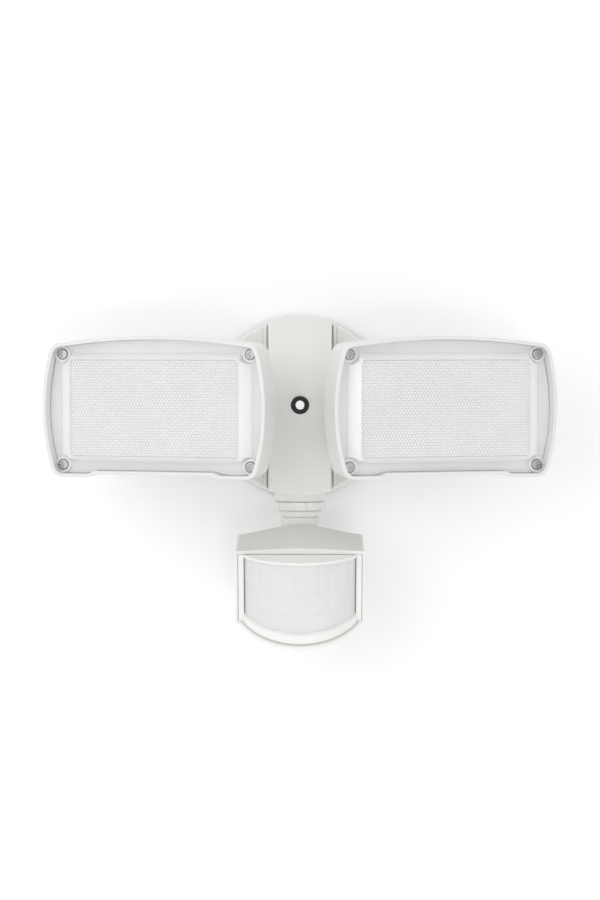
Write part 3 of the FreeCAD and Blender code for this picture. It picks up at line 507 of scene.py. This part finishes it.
def add_prisms(verts, faces, kinds):
    """Panel whose front is a honeycomb of low domes and whose back is one flat face, added to a mesh in
    progress.
    """
    row = HEX_PITCH * math.sqrt(3) / 2
    rad = HEX_PITCH / math.sqrt(3)
    rows = int(2 * PANEL_Z / row)
    cols = int(2 * PANEL_X / HEX_PITCH)
    seen = {}

    def point(x, y, z):
        x = max(-PANEL_X, min(PANEL_X, x))
        z = max(-PANEL_Z, min(PANEL_Z, z))
        key = (round(x, 3), round(y, 3), round(z, 3))
        if key not in seen:
            seen[key] = len(verts)
            verts.append((x, y, z + PLATEAU_Z))
        return seen[key]

    def skirt(cx, cz):
        return [(cx + rad * math.cos(math.radians(60 * k + 30)),
                 cz + rad * math.sin(math.radians(60 * k + 30))) for k in range(6)]

    for j in range(rows + 2):
        cz = (j - (rows + 1) / 2) * row
        for i in range(cols + 2):
            cx = (i - (cols + 1) / 2 + 0.5 * (j % 2)) * HEX_PITCH
            corners = skirt(cx, cz)
            if min(abs(x) for x, z in corners) > PANEL_X or min(abs(z) for x, z in corners) > PANEL_Z:
                continue
            low = [point(x, PANEL_FRONT_Y, z) for x, z in corners]
            mid = [point(cx + (x - cx) * SHOULDER_SIZE, PANEL_FRONT_Y - SHOULDER_RISE,
                         cz + (z - cz) * SHOULDER_SIZE) for x, z in corners]
            top = point(cx, PANEL_FRONT_Y - HEX_RISE, cz)
            for k in range(6):
                n = (k + 1) % 6
                quad = (low[k], low[n], mid[n], mid[k])
                if len(set(quad)) >= 3:
                    faces.append(tuple(dict.fromkeys(quad)))
                    kinds.append(VALLEY)
                tri = (mid[k], mid[n], top)
                if len(set(tri)) == 3:
                    faces.append(tri)
                    kinds.append(DOME)
    back = []
    for x, z in ((-1, -1), (1, -1), (1, 1), (-1, 1)):
        back.append(len(verts))
        verts.append((x * PANEL_X, PANEL_BACK_Y, z * PANEL_Z + PLATEAU_Z))
    faces.append(tuple(back))
    kinds.append(DOME)


LED_COLUMNS = 8
LED_ROWS = 3
LED_PITCH_X = 11.0
LED_PITCH_Z = 10.0
LED_HALF = 1.5
LED_BACK_Y = 30.5
LED_FRONT_Y = 29.95
PHOSPHOR_R = 1.25
PHOSPHOR_FRONT_Y = 29.72
PHOSPHOR_STEPS = 20
LED_CORNERS = ((-1, -1), (1, -1), (1, 1), (-1, 1))


def led_mesh(name, side):
    """Ceramic packages with a round phosphor window each."""
    verts = []
    faces = []
    kinds = []

    def prism(pts, y0, y1, bevel, kind):
        """Closed prism from y0 forward to y1 with a bevelled front edge."""
        start = len(verts)
        n = len(pts)
        cx = sum(p[0] for p in pts) / n
        cz = sum(p[1] for p in pts) / n
        for y, shrink in ((y0, 0.0), (y1 + bevel, 0.0), (y1, bevel)):
            for x, z in pts:
                d = math.hypot(x - cx, z - cz)
                verts.append((x - (x - cx) / d * shrink, y, z - (z - cz) / d * shrink))
        for i in range(2):
            for k in range(n):
                m = (k + 1) % n
                faces.append((start + i * n + k, start + i * n + m,
                              start + (i + 1) * n + m, start + (i + 1) * n + k))
                kinds.append(kind)
        faces.append(tuple(range(start, start + n)))
        faces.append(tuple(range(start + 2 * n, start + 3 * n)))
        kinds.extend([kind, kind])

    for i in range(LED_COLUMNS):
        for j in range(LED_ROWS):
            x = (i - (LED_COLUMNS - 1) / 2) * LED_PITCH_X
            z = (j - (LED_ROWS - 1) / 2) * LED_PITCH_Z
            package = [(x + sx * LED_HALF, z + sz * LED_HALF) for sx, sz in LED_CORNERS]
            prism(package, LED_BACK_Y, LED_FRONT_Y, 0.12, 0)
            turns = [2 * math.pi * k / PHOSPHOR_STEPS for k in range(PHOSPHOR_STEPS)]
            disc = [(x + PHOSPHOR_R * math.cos(a), z + PHOSPHOR_R * math.sin(a)) for a in turns]
            prism(disc, LED_FRONT_Y, PHOSPHOR_FRONT_Y, 0.1, 1)
    return make_object(name, scaled_points(verts), faces, [LED_BODY, MATERIALS["led"]], kinds,
                       head_matrix(side))


# ---------------------------------------------------------------- sensor window
LENS_R = 42.2
LENS_CENTRE_U = 29.3
LENS_HALF = 36.9
LENS_TOP = 5.75
LENS_LOW_W = -32.3
LENS_LOW_U = 50.0
LENS_LOW_SLOPE = -0.376
LENS_LIFT = 0.05
LENS_INSET = 0.02
LENS_THICKNESS = 1.08
LENS_COLUMNS = 330
LENS_ROWS = 96
# Tiers of facets as (top, bottom, count), from 0 at the top of the window to 1 at the bottom.
TIERS = [(0.0, 0.46, 11), (0.46, 0.76, 7), (0.76, 1.0, 5)]
BULGE_ACROSS = 0.30
BULGE_DOWN = 0.14
GROOVE_DEPTH = 0.12
GROOVE_SHARE = 0.045
LEDGE_SHARE = 0.07


def lens_floor(u):
    """Height w of the sloping lower edge at distance u in front of the axis."""
    return LENS_LOW_W + LENS_LOW_SLOPE * (u - LENS_LOW_U)


def facet_depth(s, t):
    """Inward depth in mm at s across and t down the window: domed facets parted by grooves."""
    for top, bottom, count in TIERS:
        if top <= t <= bottom:
            cell = (s * count) % 1.0
            across = abs(cell - 0.5) * 2
            down = abs((t - top) / (bottom - top) - 0.5) * 2
            groove = max(0.0, (across - 1.0 + GROOVE_SHARE) / GROOVE_SHARE)
            ledge = max(0.0, (down - 1.0 + LEDGE_SHARE) / LEDGE_SHARE)
            dome = BULGE_ACROSS * across ** 2 + BULGE_DOWN * down ** 2
            return dome + GROOVE_DEPTH * max(groove, ledge)
    return 0.0


def lens_points(is_front):
    """Grid of points of the front face with its facets, or of the plain back face."""
    limit = math.asin(LENS_HALF / LENS_R)
    face_r = LENS_R - LENS_INSET
    pts = []
    for j in range(LENS_ROWS + 1):
        t = j / LENS_ROWS
        for i in range(LENS_COLUMNS + 1):
            s = i / LENS_COLUMNS
            r = face_r - (facet_depth(s, t) if is_front else LENS_THICKNESS)
            x = face_r * math.sin(-limit + 2 * limit * s)
            u = LENS_CENTRE_U + math.sqrt(r * r - x * x)
            w = LENS_TOP + (lens_floor(u) + LENS_LIFT - LENS_TOP) * t
            pts.append((x, -u, w))
    return pts


def lens_mesh():
    """Curved window of the sensor: both faces and the four edges between them."""
    verts = lens_points(True) + lens_points(False)
    faces = []
    stride = LENS_COLUMNS + 1
    offset = stride * (LENS_ROWS + 1)
    for j in range(LENS_ROWS):
        for i in range(LENS_COLUMNS):
            a = j * stride + i
            faces.append((a, a + 1, a + stride + 1, a + stride))
            b = a + offset
            faces.append((b, b + stride, b + stride + 1, b + 1))
    for i in range(LENS_COLUMNS):
        faces.append((i, i + offset, i + offset + 1, i + 1))
        b = LENS_ROWS * stride + i
        faces.append((b, b + 1, b + offset + 1, b + offset))
    for j in range(LENS_ROWS):
        a = j * stride
        faces.append((a, a + stride, a + stride + offset, a + offset))
        b = a + LENS_COLUMNS
        faces.append((b, b + offset, b + stride + offset, b + stride))
    obj = make_object("sensor_window", scaled_points(verts), faces, [MATERIALS["lens_plastic"]],
                      None, sensor_matrix())
    smooth_by_angle(obj, 40.0)
    return obj


# ---------------------------------------------------------------- build
dress_cad_nodes()
for tag, side in (("l", -1), ("r", 1)):
    cover = cover_mesh("prism_cover_" + tag, side)
    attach(cover, "head_" + tag)
    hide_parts("cover_" + tag)
    leds = led_mesh("led_packages_" + tag, side)
    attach(leds, "head_" + tag)
    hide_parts("led_chips_" + tag)
window = lens_mesh()
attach(window, "sensor")
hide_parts("sensor_lens")


# ---------------------------------------------------------------- stage, light and camera
def stage_plane(name, corners, color, glow=0.0):
    """Plain sheet of the set, seen from its front only."""
    mat, tree, bsdf = new_material(name)
    cloud = noise(tree, 3.0, 2.0)
    tree.links.new(ramp(tree, cloud, shade(color, 0.995), color), bsdf.inputs["Base Color"])
    bsdf.inputs["Roughness"].default_value = 0.9
    bsdf.inputs["Specular IOR Level"].default_value = 0.1
    bsdf.inputs["Emission Color"].default_value = (1.0, 1.0, 1.0, 1.0)
    bsdf.inputs["Emission Strength"].default_value = glow
    geo = tree.nodes.new("ShaderNodeNewGeometry")
    clear_bsdf = tree.nodes.new("ShaderNodeBsdfTransparent")
    mix = tree.nodes.new("ShaderNodeMixShader")
    out = [n for n in tree.nodes if n.type == "OUTPUT_MATERIAL"][0]
    tree.links.new(geo.outputs["Backfacing"], mix.inputs[0])
    tree.links.new(bsdf.outputs[0], mix.inputs[1])
    tree.links.new(clear_bsdf.outputs[0], mix.inputs[2])
    tree.links.new(mix.outputs[0], out.inputs[0])
    mesh = bpy.data.meshes.new(name)
    mesh.from_pydata(corners, [], [(0, 1, 2, 3)])
    mesh.materials.append(mat)
    obj = bpy.data.objects.new(name, mesh)
    bpy.context.scene.collection.objects.link(obj)


def place_light(name, data, where, target):
    """Lamp at one point, turned to face another."""
    obj = bpy.data.objects.new(name, data)
    obj.location = where
    obj.rotation_euler = (Vector(target) - Vector(where)).to_track_quat("-Z", "Y").to_euler()
    bpy.context.scene.collection.objects.link(obj)


def area_light(name, where, target, size, power):
    data = bpy.data.lights.new(name, "AREA")
    data.energy = power
    data.size = size
    place_light(name, data, where, target)


def spot_light(name, where, target, cone, softness, power):
    """Spot whose light fades all the way from the middle to the edge of its cone."""
    data = bpy.data.lights.new(name, "SPOT")
    data.energy = power
    data.spot_size = cone
    data.spot_blend = 1.0
    data.shadow_soft_size = softness
    place_light(name, data, where, target)


WALL_Y = 0.0008
WALL_HALF = 4.0
WALL_TOP = 3.5
WALL_COLOR = (0.96, 0.96, 0.96)
WALL_GLOW = 0.03
FLOOR_Z = -0.75
FLOOR_HALF = 6.0
FLOOR_COLOR = (0.90, 0.90, 0.90)
WORLD_STRENGTH = 0.94

wall = [(-WALL_HALF, WALL_Y, FLOOR_Z), (WALL_HALF, WALL_Y, FLOOR_Z), (WALL_HALF, WALL_Y, WALL_TOP),
        (-WALL_HALF, WALL_Y, WALL_TOP)]
stage_plane("backdrop", wall, WALL_COLOR, WALL_GLOW)
floor = [(sx * FLOOR_HALF, sy * FLOOR_HALF, FLOOR_Z) for sx, sy in ((-1, -1), (1, -1), (1, 1), (-1, 1))]
stage_plane("floor", floor, FLOOR_COLOR)

CENTRE = (0.0, -0.06, -0.04)
SENSOR = (0.0, -0.05, -0.088)
area_light("key", (-0.8, -1.3, 0.3), CENTRE, 1.0, 4.0)
area_light("fill", (0.7, -1.1, -0.9), CENTRE, 1.2, 3.6)
spot_light("accent", (0.15, -1.25, -0.4), SENSOR, math.radians(8.0), 0.25, 48.0)

world = bpy.data.worlds.new("studio")
world.use_nodes = True
bpy.context.scene.world = world
background = world.node_tree.nodes["Background"]
background.inputs["Color"].default_value = (1.0, 1.0, 1.0, 1.0)
background.inputs["Strength"].default_value = WORLD_STRENGTH

bpy.context.scene.view_settings.view_transform = "Standard"

CAMERA_LENS = 74.28
CAMERA_PLACE = (0.0, -1.3, -0.0303)
camera_data = bpy.data.cameras.new("camera")
camera_data.lens = CAMERA_LENS
camera_data.sensor_width = 36.0
camera = bpy.data.objects.new("camera", camera_data)
camera.location = CAMERA_PLACE
camera.rotation_euler = (math.radians(90.0), 0.0, 0.0)
bpy.context.scene.collection.objects.link(camera)
bpy.context.scene.camera = camera
